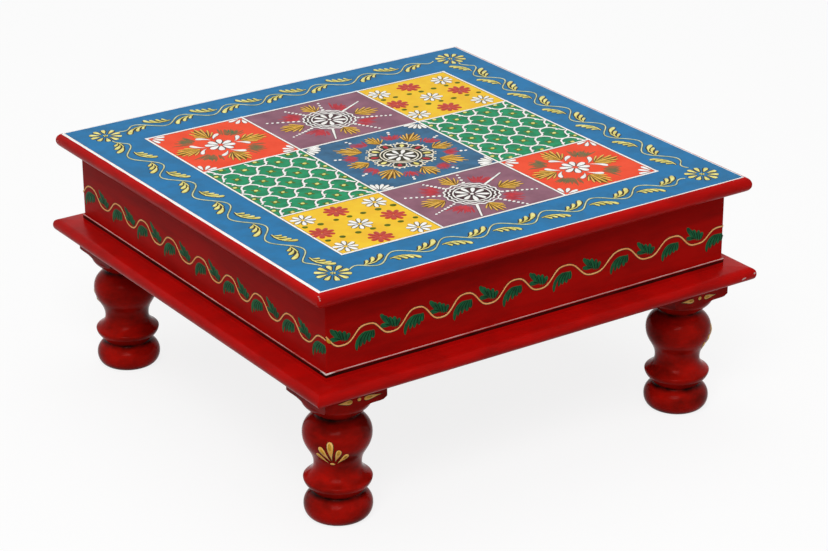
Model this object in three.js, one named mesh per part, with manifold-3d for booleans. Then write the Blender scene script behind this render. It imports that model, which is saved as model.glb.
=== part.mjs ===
// Low square prayer stool of painted wood.
// A top board with a half-round edge lies on a mitred apron box. The box stands on the raised
// fillet of a mitred base frame, and the frame on four turned legs that keep a square head.
// Millimetres, +Z up, origin on the floor under the middle of the stool.

import * as THREE from 'three';
import { mergeVertices } from 'three/addons/utils/BufferGeometryUtils.js';
import Module from 'manifold-3d';

const wasm = await Module();
wasm.setup();

// Apron box, which sets the size of the stool
const apronWidth = 275;
const apronHeight = 43.2;
const apronThickness = 10;

// Top board, with its overhang past the apron on each side
const topOverhang = 11.5;
const topThickness = 9;

// Base frame: a nosed ledge and the raised fillet that carries the apron, each with its
// overhang past the apron
const baseOverhang = 15;
const ledgeThickness = 8.1;
const filletOverhang = 0.7;
const filletHeight = 4.1;
const baseRailWidth = 57;

// Leg head, the square that is left of the blank
const legInset = 31.8;
const headWidth = 39.8;
const headHeight = 9.8;

// Turned stretch of a leg, from the floor up: radius, and rise from the form below it
const footBaseRadius = 14;
const footRadius = 19.4;
const footRise = 7.2;
const ankleRadius = 15.2;
const ankleRise = 8.4;
const beadRadius = 19.35;
const beadRise = 8.3;
const waistRadius = 13.4;
const waistRise = 8.6;
const shoulderRadius = 19.5;
const shoulderRise = 18.4;
const neckRadius = 14.5;
const neckRise = 11.1;
const collarRise = 8.6;
const headCurveRise = 3.9;
const turningMargin = 0.5;

// Corner blocks inside the apron box
const cornerBlockWidth = 30;
const cornerBlockChamfer = 12;

// Countersunk wood screws
const screwLength = 25;
const screwHeadRadius = 3.5;
const screwHeadHeight = 2.2;
const screwShankRadius = 1.75;
const screwPointLength = 4;
const screwHeadSink = 0.3;
const topScrewBite = 5.5;
const legScrewOffset = 9;
const baseScrewSpacing = 130;

// Clearances
const glueGap = 0.3;
const screwFit = 0.3;
const cutOverrun = 1;

// Smoothness of the curved forms
const legSides = 32;
const screwSides = 8;
const curveSteps = 4;
const noseSteps = 4;

// How far a turned curve keeps its direction at an end, as a share of its rise
const full = 0.7;
const even = 0.45;
const tight = 0.15;

// Widths, heights and places that follow from the sizes above
const topWidth = apronWidth + 2 * topOverhang;
const baseWidth = apronWidth + 2 * baseOverhang;
const collarHeight = footRise + ankleRise + beadRise + waistRise + shoulderRise + neckRise + collarRise;
const legHeight = collarHeight + headCurveRise + headHeight;
const ledgeTop = legHeight + ledgeThickness;
const baseTop = ledgeTop + filletHeight;
const apronTop = baseTop + apronHeight;
const apronInside = apronWidth / 2 - apronThickness;
const legAxis = baseWidth / 2 - legInset;
const blockOutside = apronInside - glueGap;
const blockMiddle = blockOutside - cornerBlockWidth / 2;
const baseScrewLine = apronWidth / 2 - apronThickness / 2;
const topScrewHead = apronTop + topScrewBite - screwLength;
const quarterTurn = Math.PI / 2;

// A closed mesh becomes a solid that can be joined and cut
function toSolid(geometry) {
  geometry.deleteAttribute('normal');
  geometry.deleteAttribute('uv');
  const merged = mergeVertices(geometry);
  const corners = merged.index.array;
  const triangles = [];
  for (let i = 0; i < corners.length; i += 3) {
    const [a, b, c] = corners.slice(i, i + 3);
    if (a !== b && b !== c && c !== a) {
      triangles.push(a, b, c);
    }
  }
  return new wasm.Manifold(new wasm.Mesh({
    numProp: 3,
    vertProperties: merged.attributes.position.array,
    triVerts: Uint32Array.from(triangles),
  }));
}

// And back to a mesh that can be shown
function toGeometry(solid) {
  const mesh = solid.getMesh();
  const geometry = new THREE.BufferGeometry();
  geometry.setAttribute('position', new THREE.BufferAttribute(mesh.vertProperties, 3));
  geometry.setIndex(new THREE.BufferAttribute(mesh.triVerts, 1));
  geometry.computeVertexNormals();
  return geometry;
}

// Revolves an outline of radius and height about the upright axis
function turned(points, sides, start = 0) {
  return new THREE.LatheGeometry(points, sides, start).rotateX(quarterTurn);
}

// A four-sided turning: its outline is measured square to the sides, and its corners are mitres
function squareTurned(points) {
  const stretched = points.map((point) => new THREE.Vector2(point.x * Math.SQRT2, point.y));
  return turned(stretched, 4, quarterTurn / 2);
}

// A flat outline raised from one height to another
function raised(shape, bottom, top) {
  const settings = { depth: top - bottom, bevelEnabled: false };
  return new THREE.ExtrudeGeometry(shape, settings).translate(0, 0, bottom);
}

// Outline of a board's section, from its inner edge out and round its half-round nose
function nosedOutline(inner, outer, bottom, thickness) {
  const nose = thickness / 2;
  const outline = new THREE.Path();
  outline.moveTo(inner, bottom);
  outline.lineTo(outer - nose, bottom);
  outline.absarc(outer - nose, bottom + nose, nose, -quarterTurn, quarterTurn, false);
  return outline;
}

// The front quarter of a square ring, with a mitre at both ends
function mitredSide(outline, bottom, top) {
  const reach = baseWidth;
  const apex = glueGap / Math.SQRT2;
  const wedge = new THREE.Shape();
  wedge.moveTo(0, -apex);
  wedge.lineTo(-reach, -apex - reach);
  wedge.lineTo(reach, -apex - reach);
  const cutter = raised(wedge, bottom - cutOverrun, top + cutOverrun);
  return toSolid(squareTurned(outline)).intersect(toSolid(cutter));
}

// A screw with its head face at zero and its point up
function screw() {
  const outline = [
    new THREE.Vector2(0, 0),
    new THREE.Vector2(screwHeadRadius, 0),
    new THREE.Vector2(screwShankRadius, screwHeadHeight),
    new THREE.Vector2(screwShankRadius, screwLength - screwPointLength),
    new THREE.Vector2(0, screwLength),
  ];
  return turned(outline, screwSides);
}

// The hole that the screw sits in, with an access bore of the given depth behind its head
function screwHole(access) {
  const headRadius = screwHeadRadius + screwFit;
  const shankRadius = screwShankRadius + screwFit;
  const outline = [
    new THREE.Vector2(0, -access),
    new THREE.Vector2(headRadius, -access),
    new THREE.Vector2(headRadius, 0),
    new THREE.Vector2(shankRadius, screwHeadHeight),
    new THREE.Vector2(shankRadius, screwLength - screwPointLength + screwFit),
    new THREE.Vector2(0, screwLength + screwFit),
  ];
  return turned(outline, screwSides);
}

const shallowAccess = screwHeadSink + cutOverrun;
const deepAccess = topScrewHead - baseTop + cutOverrun;

// Holes for screws that point up, at the height of their head
function holeUp(x, y, height, access) {
  return toSolid(screwHole(access).translate(x, y, height));
}

// Holes for screws that point down
function holeDown(x, y, height) {
  return toSolid(screwHole(shallowAccess).rotateX(Math.PI).translate(x, y, height));
}

// Top board: one board, nosed all round, with blind holes for the top screws
function topBoard() {
  const outline = nosedOutline(0, topWidth / 2, apronTop, topThickness);
  outline.lineTo(0, apronTop + topThickness);
  let board = toSolid(squareTurned(outline.getPoints(noseSteps)));
  for (const x of [-blockMiddle, blockMiddle]) {
    for (const y of [-blockMiddle, blockMiddle]) {
      board = board.subtract(holeUp(x, y, topScrewHead, shallowAccess));
    }
  }
  return toGeometry(board);
}

// Apron board of the front side
function apronBoard() {
  const outline = new THREE.Path();
  outline.moveTo(apronInside, baseTop);
  outline.lineTo(apronWidth / 2, baseTop);
  outline.lineTo(apronWidth / 2, apronTop);
  outline.lineTo(apronInside, apronTop);
  outline.lineTo(apronInside, baseTop);
  let board = mitredSide(outline.getPoints(), baseTop, apronTop);
  for (const x of [-baseScrewSpacing / 2, baseScrewSpacing / 2]) {
    board = board.subtract(holeUp(x, -baseScrewLine, legHeight + screwHeadSink, shallowAccess));
  }
  return toGeometry(board);
}

// Rail of the base frame, front side: the ledge steps up to the fillet under the apron
function baseRail() {
  const inside = baseWidth / 2 - baseRailWidth;
  const filletOutside = apronWidth / 2 + filletOverhang;
  const outline = nosedOutline(inside, baseWidth / 2, legHeight, ledgeThickness);
  outline.lineTo(filletOutside, ledgeTop);
  outline.lineTo(filletOutside, baseTop);
  outline.lineTo(inside, baseTop);
  outline.lineTo(inside, legHeight);
  let rail = mitredSide(outline.getPoints(noseSteps), legHeight, baseTop);
  for (const side of [-1, 1]) {
    const baseScrewX = side * baseScrewSpacing / 2;
    const legScrewX = side * (legAxis - legScrewOffset);
    rail = rail.subtract(holeUp(baseScrewX, -baseScrewLine, legHeight + screwHeadSink, shallowAccess));
    rail = rail.subtract(holeDown(legScrewX, -legAxis - legScrewOffset, baseTop - screwHeadSink));
  }
  return toGeometry(rail);
}

// Outline of the turned leg, from the middle of its foot up to the middle of its head
function legOutline() {
  const outline = new THREE.Path();
  let height = footRise;
  let radius = footRadius;

  function sweep(rise, nextRadius, leave, arrive) {
    const next = height + rise;
    outline.bezierCurveTo(
      radius, height + leave * rise,
      nextRadius, next - arrive * rise,
      nextRadius, next,
    );
    height = next;
    radius = nextRadius;
  }

  outline.moveTo(0, 0);
  outline.lineTo(footBaseRadius, 0);
  outline.absellipse(footBaseRadius, footRise, footRadius - footBaseRadius, footRise, -quarterTurn, 0);
  sweep(ankleRise, ankleRadius, full, tight);
  sweep(beadRise, beadRadius, tight, even);
  sweep(waistRise, waistRadius, tight, full);
  sweep(shoulderRise, shoulderRadius, even, even);
  sweep(neckRise, neckRadius, full, tight);
  sweep(collarRise, headWidth / 2, tight, even);

  const cutRadius = headWidth / Math.SQRT2 + turningMargin;
  const headCurveWidth = cutRadius - headWidth / 2;
  outline.absellipse(headWidth / 2, height + headCurveRise, headCurveWidth, headCurveRise, -quarterTurn, 0);
  outline.lineTo(cutRadius, legHeight);
  outline.lineTo(0, legHeight);
  return outline.getPoints(curveSteps);
}

// Leg: the lathe cuts the round stretch out of a square blank, and the head stays square.
// Where the curve runs out through the blank's corners it leaves the rounded shoulders.
function leg() {
  const half = headWidth / 2;
  const blank = new THREE.Shape();
  blank.moveTo(-half, -half);
  blank.lineTo(half, -half);
  blank.lineTo(half, half);
  blank.lineTo(-half, half);
  let body = toSolid(turned(legOutline(), legSides)).intersect(toSolid(raised(blank, -cutOverrun, legHeight)));
  for (const side of [-1, 1]) {
    const offset = side * legScrewOffset;
    body = body.subtract(holeDown(offset, offset, baseTop - screwHeadSink));
  }
  return toGeometry(body);
}

// Corner block of the front right corner, with its inner corner planed off
function cornerBlock() {
  const outer = blockOutside;
  const inner = blockOutside - cornerBlockWidth;
  const shape = new THREE.Shape();
  shape.moveTo(inner, -outer);
  shape.lineTo(outer, -outer);
  shape.lineTo(outer, -inner);
  shape.lineTo(inner + cornerBlockChamfer, -inner);
  shape.lineTo(inner, -inner - cornerBlockChamfer);
  const hole = holeUp(blockMiddle, -blockMiddle, topScrewHead, deepAccess);
  return toGeometry(toSolid(raised(shape, baseTop, apronTop)).subtract(hole));
}

const redGloss = { color: 0xa5130d, roughness: 0.25, metalness: 0 };
const darkRed = { color: 0x7d0f0c, roughness: 0.3, metalness: 0 };
const bareWood = { color: 0xb98f5e, roughness: 0.75, metalness: 0 };
const steel = { color: 0xb4b6b8, roughness: 0.35, metalness: 1 };

function piece(name, geometry, finish) {
  const mesh = new THREE.Mesh(geometry, new THREE.MeshStandardMaterial(finish));
  mesh.name = name;
  return mesh;
}

function placedScrew(name, x, y, height, pointsDown = false) {
  const mesh = piece(name, screw(), steel);
  mesh.position.set(x, y, height);
  mesh.rotation.x = pointsDown ? Math.PI : 0;
  return mesh;
}

const group = new THREE.Group();
group.add(piece('top_board', topBoard(), redGloss));

// Each quarter holds one side and the corner at its right end, turned into its place
const quarters = [
  { side: 'front', corner: 'front_right' },
  { side: 'right', corner: 'back_right' },
  { side: 'back', corner: 'back_left' },
  { side: 'left', corner: 'front_left' },
];

quarters.forEach(({ side, corner }, index) => {
  const quarter = new THREE.Group();
  quarter.rotation.z = index * quarterTurn;
  quarter.add(piece(`apron_${side}`, apronBoard(), darkRed));
  quarter.add(piece(`base_rail_${side}`, baseRail(), redGloss));

  const turnedLeg = piece(`leg_${corner}`, leg(), redGloss);
  turnedLeg.position.set(legAxis, -legAxis, 0);
  quarter.add(turnedLeg);
  quarter.add(piece(`corner_block_${corner}`, cornerBlock(), bareWood));

  quarter.add(placedScrew(`top_screw_${corner}`, blockMiddle, -blockMiddle, topScrewHead));
  const baseScrewHead = legHeight + screwHeadSink;
  const legScrewHead = baseTop - screwHeadSink;
  [-1, 1].forEach((end, number) => {
    const label = number + 1;
    const offset = end * legScrewOffset;
    quarter.add(placedScrew(
      `base_screw_${side}_${label}`, end * baseScrewSpacing / 2, -baseScrewLine, baseScrewHead,
    ));
    quarter.add(placedScrew(
      `leg_screw_${corner}_${label}`, legAxis + offset, -legAxis + offset, legScrewHead, true,
    ));
  });
  group.add(quarter);
});

export default group;
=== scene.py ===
import math
import random

import bpy
from mathutils import Matrix, Vector


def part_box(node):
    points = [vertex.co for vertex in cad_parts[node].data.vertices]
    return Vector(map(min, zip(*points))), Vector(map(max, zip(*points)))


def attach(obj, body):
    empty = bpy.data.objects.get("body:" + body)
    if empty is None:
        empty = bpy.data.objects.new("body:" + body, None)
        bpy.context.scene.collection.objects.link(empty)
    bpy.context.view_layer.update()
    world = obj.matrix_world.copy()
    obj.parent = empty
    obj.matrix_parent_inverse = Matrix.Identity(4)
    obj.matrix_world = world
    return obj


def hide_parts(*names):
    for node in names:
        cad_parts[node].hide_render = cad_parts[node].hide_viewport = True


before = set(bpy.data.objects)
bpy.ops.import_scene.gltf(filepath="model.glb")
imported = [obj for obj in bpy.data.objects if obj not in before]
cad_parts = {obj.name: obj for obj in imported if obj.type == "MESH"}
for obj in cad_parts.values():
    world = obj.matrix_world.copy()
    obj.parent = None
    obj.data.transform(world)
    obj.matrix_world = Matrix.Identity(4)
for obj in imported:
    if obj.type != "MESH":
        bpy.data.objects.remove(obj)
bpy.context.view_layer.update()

MM = 0.001
QUARTER = math.pi / 2
hand = random.Random(11)

# Sizes read from the CAD parts
board_low, board_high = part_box("top_board")
apron_low, apron_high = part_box("apron_front")
rail_low, rail_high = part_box("base_rail_front")
leg_low, leg_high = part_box("leg_front_right")
TOP = board_high.z
BOARD_HALF = board_high.x
APRON_OUT = -apron_low.y
APRON_IN = -apron_high.y
RAIL_OUT = -rail_low.y
RAIL_IN = -rail_high.y
LEG_AXIS = (leg_low.x + leg_high.x) / 2
HEAD_HALF = (leg_high.x - leg_low.x) / 2
LEG_TOP = leg_high.z
LEDGE_TOP = rail_low.z + 8.1 * MM
FILLET_OUT = APRON_OUT + 0.7 * MM
FILLET_TOP = rail_high.z + 0.65 * MM

SIDES = ["front", "right", "back", "left"]
CORNERS = ["front_right", "back_right", "back_left", "front_left"]


# Materials

def brushed_coat(material, color, deep, streaks, patch, bump):
    """Two tones of a paint that drift into each other along its brush marks."""
    nodes, links = material.node_tree.nodes, material.node_tree.links
    shader = nodes["Principled BSDF"]
    place = nodes.new("ShaderNodeTexCoord")
    stretch = nodes.new("ShaderNodeMapping")
    stretch.inputs["Scale"].default_value = streaks
    links.new(place.outputs["Object"], stretch.inputs["Vector"])
    drift = nodes.new("ShaderNodeTexNoise")
    drift.inputs["Scale"].default_value = patch
    drift.inputs["Detail"].default_value = 6
    drift.inputs["Roughness"].default_value = 0.62
    links.new(stretch.outputs["Vector"], drift.inputs["Vector"])
    tones = nodes.new("ShaderNodeValToRGB")
    tones.color_ramp.elements[0].position = 0.34
    tones.color_ramp.elements[0].color = (*deep, 1)
    tones.color_ramp.elements[1].position = 0.62
    tones.color_ramp.elements[1].color = (*color, 1)
    links.new(drift.outputs["Fac"], tones.inputs["Fac"])
    links.new(tones.outputs["Color"], shader.inputs["Base Color"])
    marks = nodes.new("ShaderNodeTexNoise")
    marks.inputs["Scale"].default_value = 260
    marks.inputs["Detail"].default_value = 4
    links.new(stretch.outputs["Vector"], marks.inputs["Vector"])
    relief = nodes.new("ShaderNodeBump")
    relief.inputs["Strength"].default_value = bump
    relief.inputs["Distance"].default_value = 0.15 * MM
    links.new(marks.outputs["Fac"], relief.inputs["Height"])
    links.new(relief.outputs["Normal"], shader.inputs["Normal"])
    return tones


def enamel(name, color, deep, rough=0.3, gloss=0.12, streaks=(1, 1, 1), patch=60, bump=0.15):
    material = bpy.data.materials.new(name)
    material.use_nodes = True
    brushed_coat(material, color, deep, streaks, patch, bump)
    shader = material.node_tree.nodes["Principled BSDF"]
    shader.inputs["Roughness"].default_value = rough
    shader.inputs["Specular IOR Level"].default_value = gloss
    return material


def groove_darkened_enamel(name, color, deep, darkening, grooves, reach):
    """Enamel of the turned legs, darker at the given groove heights and towards the bottom of the foot."""
    material = enamel(name, color, deep, rough=0.18, gloss=0.038, streaks=(1, 1, 1.6), patch=38, bump=0.3)
    nodes, links = material.node_tree.nodes, material.node_tree.links
    shader = nodes["Principled BSDF"]
    shader.inputs["Specular Tint"].default_value = (1, 0.55, 0.52, 1)
    tones = nodes["Color Ramp"]
    place = nodes.new("ShaderNodeTexCoord")
    split = nodes.new("ShaderNodeSeparateXYZ")
    links.new(place.outputs["Object"], split.inputs["Vector"])
    height = nodes.new("ShaderNodeMapRange")
    height.inputs["From Max"].default_value = LEG_TOP
    links.new(split.outputs["Z"], height.inputs["Value"])
    rings = nodes.new("ShaderNodeValToRGB")
    stops = rings.color_ramp.elements
    stops[0].color = (0.75, 0.75, 0.75, 1)
    stops[1].color = (0, 0, 0, 1)
    stops[1].position = 0.06
    for groove in grooves:
        middle = groove / LEG_TOP
        for shift, level in ((-reach, 0), (0, 1), (reach, 0)):
            stop = stops.new(middle + shift)
            stop.color = (level, level, level, 1)
    links.new(height.outputs["Result"], rings.inputs["Fac"])
    patchy_noise = nodes.new("ShaderNodeTexNoise")
    patchy_noise.inputs["Scale"].default_value = 130
    patchy_noise.inputs["Detail"].default_value = 5
    links.new(place.outputs["Object"], patchy_noise.inputs["Vector"])
    share = nodes.new("ShaderNodeMath")
    share.operation = "MULTIPLY"
    links.new(rings.outputs["Color"], share.inputs[0])
    links.new(patchy_noise.outputs["Fac"], share.inputs[1])
    gain = nodes.new("ShaderNodeMapRange")
    gain.inputs["From Min"].default_value = 0.08
    gain.inputs["From Max"].default_value = 0.5
    links.new(share.outputs["Value"], gain.inputs["Value"])
    blend = nodes.new("ShaderNodeMix")
    blend.data_type = "RGBA"
    blend.inputs["B"].default_value = (*darkening, 1)
    links.new(gain.outputs["Result"], blend.inputs["Factor"])
    links.new(tones.outputs["Color"], blend.inputs["A"])
    links.new(blend.outputs["Result"], shader.inputs["Base Color"])
    return material


def wood(name):
    """Planed softwood with grain along X."""
    material = bpy.data.materials.new(name)
    material.use_nodes = True
    tones = brushed_coat(material, (0.5, 0.33, 0.17), (0.27, 0.15, 0.065), (0.06, 1, 1), 180, 0.35)
    tones.color_ramp.elements[0].position = 0.3
    tones.color_ramp.elements[1].position = 0.7
    material.node_tree.nodes["Principled BSDF"].inputs["Roughness"].default_value = 0.7
    return material


def zinc(name):
    """Zinc plated steel, a little blotched."""
    material = enamel(name, (0.6, 0.6, 0.6), (0.38, 0.37, 0.35), rough=0.35, gloss=0.5, patch=300)
    material.node_tree.nodes["Principled BSDF"].inputs["Metallic"].default_value = 1
    return material


FLAT_STROKES = (1, 1, 5)
MATERIALS = {
    "edge_red": enamel("edge_red", (0.5, 0.004, 0.003), (0.35, 0.004, 0.003), 0.32, 0.045, FLAT_STROKES, 40),
    # Apron red: the edges' red paint made darker, as painted shade under the board's overhang.
    "apron_red": enamel("apron_red", (0.43, 0.0045, 0.003), (0.31, 0.004, 0.003), 0.3, 0.016, FLAT_STROKES, 25),
    # Legs: the red runs nearly black at the ankle and neck grooves and towards the bottom of the foot.
    "leg_red": groove_darkened_enamel(
        "leg_red", (0.42, 0.006, 0.003), (0.14, 0.004, 0.002), (0.02, 0.003, 0.002),
        [15.8 * MM, 63.1 * MM], 0.03,
    ),
    "bare_wood": wood("bare_wood"),
    "screw_steel": zinc("screw_steel"),
    "ground_blue": enamel("ground_blue", (0.02, 0.19, 0.43), (0.022, 0.155, 0.33), 0.45, 0.04, (1, 1, 1), 90),
    "centre_blue": enamel("centre_blue", (0.045, 0.16, 0.3), (0.03, 0.1, 0.19), 0.45, 0.05, (1, 1, 1), 90),
    "ground_yellow": enamel("ground_yellow", (0.93, 0.6, 0.03), (0.88, 0.5, 0.025), 0.45, 0.05),
    "ground_orange": enamel("ground_orange", (0.9, 0.085, 0.03), (0.84, 0.065, 0.02), 0.45, 0.05),
    "ground_mauve": enamel("ground_mauve", (0.3, 0.13, 0.18), (0.22, 0.09, 0.13), 0.45, 0.05),
    "ground_green": enamel("ground_green", (0.013, 0.31, 0.13), (0.008, 0.19, 0.08), 0.45, 0.05, (1, 1, 1), 160),
    "relief_white": enamel("relief_white", (0.97, 0.96, 0.94), (0.9, 0.88, 0.83), 0.4, 0.15, (1, 1, 1), 200),
    "relief_gold": enamel("relief_gold", (0.93, 0.86, 0.3), (0.68, 0.57, 0.1), 0.35, 0.15, (1, 1, 1), 260),
    "cream": enamel("cream", (0.96, 0.93, 0.83), (0.86, 0.78, 0.56), 0.4, 0.1, (1, 1, 1), 200),
    "relief_ochre": enamel("relief_ochre", (0.74, 0.42, 0.03), (0.45, 0.22, 0.012), 0.35, 0.2, (1, 1, 1), 260),
    "relief_crimson": enamel("relief_crimson", (0.57, 0.045, 0.058), (0.38, 0.03, 0.044), 0.5, 0.05, (1, 1, 1), 300),
    "relief_brick": enamel("relief_brick", (0.58, 0.05, 0.025), (0.42, 0.035, 0.02), 0.45, 0.15, (1, 1, 1), 260),
    "relief_green": enamel("relief_green", (0.008, 0.13, 0.045), (0.006, 0.05, 0.02), 0.5, 0.1, (1, 1, 1), 260),
    "relief_olive": enamel("relief_olive", (0.13, 0.17, 0.004), (0.06, 0.085, 0.003), 0.5, 0.05, (1, 1, 1), 300),
    "relief_peach": enamel("relief_peach", (1.0, 0.52, 0.2), (1.0, 0.38, 0.11), 0.4, 0.06, (1, 1, 1), 200),
    "leaf_stroke": enamel("leaf_stroke", (0.93, 0.57, 0.11), (0.7, 0.37, 0.03), 0.4, 0.12, (1, 1, 1), 260),
    "leaf_ground": enamel("leaf_ground", (0.2, 0.09, 0.006), (0.09, 0.038, 0.003), 0.5, 0.05, (1, 1, 1), 260),
    "thin_green": enamel("thin_green", (0.38, 0.12, 0.05), (0.16, 0.14, 0.065), 0.5, 0.03, (1, 1, 1), 220),
    "soft_green": enamel("soft_green", (0.045, 0.2, 0.09), (0.1, 0.15, 0.065), 0.5, 0.03, (1, 1, 1), 220),
    "lemon": enamel("lemon", (0.86, 0.85, 0.3), (0.66, 0.6, 0.12), 0.4, 0.1, (1, 1, 1), 260),
    "pale_vine": enamel("pale_vine", (0.76, 0.8, 0.48), (0.46, 0.52, 0.26), 0.4, 0.1, (1, 1, 1), 200),
    "dark_mauve": enamel("dark_mauve", (0.1, 0.045, 0.055), (0.045, 0.02, 0.025), 0.5, 0.03, (1, 1, 1), 220),
    "deep_green": enamel("deep_green", (0.004, 0.035, 0.014), (0.003, 0.02, 0.008), 0.5, 0.03, (1, 1, 1), 220),
    "relief_amber": enamel("relief_amber", (1.0, 0.6, 0.2), (0.92, 0.45, 0.08), 0.4, 0.1, (1, 1, 1), 200),
    # Umber: the dark ground of the centre medallion, and the painted shadow and outline round raised strokes.
    "relief_umber": enamel("relief_umber", (0.035, 0.028, 0.012), (0.02, 0.014, 0.008), 0.5, 0.1, (1, 1, 1), 200),
    # Dark red of the painted shade under the fillet's arris.
    "red_painted_shade": enamel("red_painted_shade", (0.075, 0.004, 0.003), (0.02, 0.003, 0.002), 0.4, 0.03, (1, 1, 1), 50),
    # Pale pink of paint rubbed through to the undercoat; on the fillet's arris and the top board's near corner it is
    # also painted highlight.
    "worn_paint_and_highlight": enamel("worn_paint_and_highlight", (0.72, 0.55, 0.52), (0.5, 0.17, 0.15), 0.5, 0.05, (1, 1, 1), 25),
}


# Pieces

def add_piece(name, vertices, faces, slot, replaced=(), second=None, second_faces=(), look=None):
    """A finished mesh piece of the stool: smooth except at its sharp edges."""
    mesh = bpy.data.meshes.new(name)
    mesh.from_pydata([tuple(v) for v in vertices], [], faces)
    mesh.materials.append(MATERIALS[look or slot])
    if second:
        mesh.materials.append(MATERIALS[second])
        for index in second_faces:
            mesh.polygons[index].material_index = 1
    mesh.validate()
    mesh.shade_smooth()
    mesh.set_sharp_from_angle(angle=math.radians(38))
    piece = bpy.data.objects.new(name, mesh)
    bpy.context.scene.collection.objects.link(piece)
    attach(piece, "root")
    if replaced:
        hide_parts(*replaced)
    return piece


def turn(point, quarter):
    """A point of the front side, turned to the side with that number."""
    return Matrix.Rotation(quarter * QUARTER, 3, "Z") @ Vector(point)


def cutter(vertices, faces):
    """A solid that is only there to be cut out of a piece."""
    mesh = bpy.data.meshes.new("cutter")
    mesh.from_pydata([tuple(v) for v in vertices], [], faces)
    holder = bpy.data.objects.new("cutter", mesh)
    bpy.context.scene.collection.objects.link(holder)
    return holder


def cut(piece, cutters):
    """Take the cutters out of a piece."""
    for tool in cutters:
        step = piece.modifiers.new("cut", "BOOLEAN")
        step.operation = "DIFFERENCE"
        step.object = tool
    graph = bpy.context.evaluated_depsgraph_get()
    carved = bpy.data.meshes.new_from_object(piece.evaluated_get(graph))
    carved.set_sharp_from_angle(angle=math.radians(38))
    piece.modifiers.clear()
    piece.data = carved
    for tool in cutters:
        bpy.data.objects.remove(tool)


def round_solid(section, place, head, way, sides=24):
    """A turned solid on an upright axis: radius and way along it, counted from the head's height."""
    vertices = [
        (place.x + radius * math.cos(2 * math.pi * i / sides),
         place.y + radius * math.sin(2 * math.pi * i / sides), head + way * rise)
        for radius, rise in section for i in range(sides)
    ]
    last = (len(section) - 1) * sides
    faces = [tuple(reversed(range(sides))), tuple(range(last, last + sides))]
    for j in range(len(section) - 1):
        for i in range(sides):
            n = (i + 1) % sides
            faces.append((j * sides + i, j * sides + n, (j + 1) * sides + n, (j + 1) * sides + i))
    if way < 0:
        faces = [tuple(reversed(face)) for face in faces]
    return vertices, faces


def block_solid(middle, half):
    """A plain block round a middle."""
    vertices = [
        (middle[0] + sx * half[0], middle[1] + sy * half[1], middle[2] + sz * half[2])
        for sz in (-1, 1) for sx, sy in ((-1, -1), (1, -1), (1, 1), (-1, 1))
    ]
    faces = [(3, 2, 1, 0), (4, 5, 6, 7)] + [(i, (i + 1) % 4, 4 + (i + 1) % 4, 4 + i) for i in range(4)]
    return vertices, faces


SCREW_HEAD = 3.5 * MM
SCREW_SHANK = 1.75 * MM
SCREW_SINK = 2.2 * MM
SCREW_POINT = 4 * MM
SCREW_ROOM = 0.15 * MM


def screw_holes(quarter):
    """The countersunk holes through one base rail."""
    holes = []
    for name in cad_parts:
        if not name.startswith(("base_screw", "leg_screw")):
            continue
        low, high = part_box(name)
        middle = (low + high) / 2
        seen = turn(middle, -quarter)
        if seen.y > -abs(seen.x):
            continue
        way = 1 if name.startswith("base_screw") else -1
        head = low.z if way > 0 else high.z
        head_radius, shank_radius = SCREW_HEAD + SCREW_ROOM, SCREW_SHANK + SCREW_ROOM
        section = [(head_radius, -SCREW_HEAD), (head_radius, 0), (shank_radius, SCREW_SINK),
                   (shank_radius, high.z - low.z)]
        holes.append(cutter(*round_solid(section, middle, head, way)))
    return holes


def make_base_screws():
    """The screws that show from below, with a cross recess in the head."""
    for name in list(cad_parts):
        if not name.startswith("base_screw"):
            continue
        low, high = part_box(name)
        middle, length = (low + high) / 2, high.z - low.z
        section = [(SCREW_HEAD, 0), (SCREW_SHANK, SCREW_SINK), (SCREW_SHANK, length - SCREW_POINT),
                   (0.05 * MM, length)]
        screw = add_piece(f"recessed_{name}", *round_solid(section, middle, low.z, 1), "screw_steel", [name])
        long_half, thin_half, deep = 2 * MM, 0.45 * MM, 1.2 * MM
        cut(screw, [
            cutter(*block_solid((middle.x, middle.y, low.z), half))
            for half in ((long_half, thin_half, deep), (thin_half, long_half, deep))
        ])


ARC_STEPS = 5
LENGTH_STEPS = 12


def side_path(half, radius):
    """The front side of a rounded square, from the middle of one corner to that of the next."""
    radius = max(radius, 0)
    centre = half - radius
    path = []
    for step in range(ARC_STEPS + 1):
        angle = math.radians(225) + math.radians(45) * step / ARC_STEPS
        path.append((-centre + radius * math.cos(angle), -centre + radius * math.sin(angle)))
    for step in range(1, LENGTH_STEPS):
        path.append((-centre + 2 * centre * step / LENGTH_STEPS, -half))
    for step in range(ARC_STEPS + 1):
        angle = math.radians(270) + math.radians(45) * step / ARC_STEPS
        path.append((centre + radius * math.cos(angle), -centre + radius * math.sin(angle)))
    return path


def nose_section(inner, outer, low, high, steps=14):
    """Section of a board with a half-round edge, as distance from the middle and height."""
    nose = (high - low) / 2
    section = [(inner, low)]
    for step in range(steps + 1):
        angle = -QUARTER + math.pi * step / steps
        section.append((outer - nose + nose * math.cos(angle), low + nose + nose * math.sin(angle)))
    section.append((inner, high))
    return section


def mitred_side(name, section, outer, corner_radius, quarter, slot, replaced, inside):
    """One side of a square frame. Its inner face is bare wood."""
    rows = [side_path(half, corner_radius - (outer - half)) for half, _ in section]
    count, across = len(rows[0]), len(section)
    vertices = []
    for row, (_, height) in zip(rows, section):
        vertices += [turn((x, y, height), quarter) for x, y in row]
    faces, bare = [], []
    for j in range(across):
        k = (j + 1) % across
        for i in range(count - 1):
            faces.append((j * count + i, j * count + i + 1, k * count + i + 1, k * count + i))
            if section[j][0] == section[k][0] == inside:
                bare.append(len(faces) - 1)
    faces.append(tuple(j * count for j in reversed(range(across))))
    faces.append(tuple(j * count + count - 1 for j in range(across)))
    return add_piece(name, vertices, faces, slot, replaced, "bare_wood", bare)


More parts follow.
